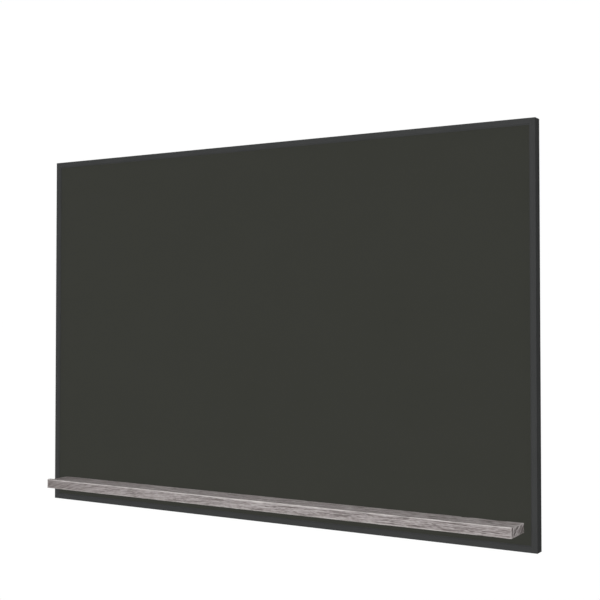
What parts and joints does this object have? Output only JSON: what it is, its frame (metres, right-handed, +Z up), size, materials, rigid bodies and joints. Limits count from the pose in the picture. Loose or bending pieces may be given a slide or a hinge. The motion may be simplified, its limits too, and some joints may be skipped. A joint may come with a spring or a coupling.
{
  "type": "wall chalkboard with ledge",
  "caption": "Framed wall chalkboard: recessed grey-green writing surface, slim dark grey mitred frame, and a weathered oak chalk ledge with a raised lip near its lower edge.",
  "frame": {"origin": "on the back of the frame, flush with the rear faces of the hanger plates, midway between the four keyhole hangers, which is also the middle of the board's width and height", "axes": "+X to the right of a person facing the board, +Y into the wall, +Z up; the writing surface faces -Y"},
  "size_m": [1.226, 0.0905, 0.826],
  "materials": {
    "writing_enamel": "matte",
    "core_fibreboard": "matte",
    "backing_steel": "satin",
    "frame_coating": "matte",
    "key_alloy": "satin",
    "black_screw_steel": "satin",
    "batten_plywood": "matte",
    "zinc_steel": "satin",
    "insert_brass": "satin",
    "weathered_oak": "matte",
    "pad_rubber": "matte"
  },
  "bodies": {
    "root": {"backing_sheet": "backing_steel", "batten_screws": "zinc_steel", "core_panel": "core_fibreboard", "corner_key_bottom_left": "key_alloy", "corner_key_bottom_right": "key_alloy", "corner_key_screws": "black_screw_steel", "corner_key_top_left": "key_alloy", "corner_key_top_right": "key_alloy", "frame_bottom_rail": "frame_coating", "frame_left_stile": "frame_coating", "frame_right_stile": "frame_coating", "frame_top_rail": "frame_coating", "hanger_plate_bottom_left": "zinc_steel", "hanger_plate_bottom_right": "zinc_steel", "hanger_plate_top_left": "zinc_steel", "hanger_plate_top_right": "zinc_steel", "hanger_screws": "zinc_steel", "ledge_board": "weathered_oak", "ledge_bolts": "zinc_steel", "ledge_inserts": "insert_brass", "ledge_lip": "weathered_oak", "ledge_washers": "zinc_steel", "rear_batten_bottom": "batten_plywood", "rear_batten_top": "batten_plywood", "wall_pad_bottom_left": "pad_rubber", "wall_pad_bottom_right": "pad_rubber", "wall_pad_top_left": "pad_rubber", "wall_pad_top_right": "pad_rubber", "writing_sheet": "writing_enamel"}
  },
  "joints": []
}
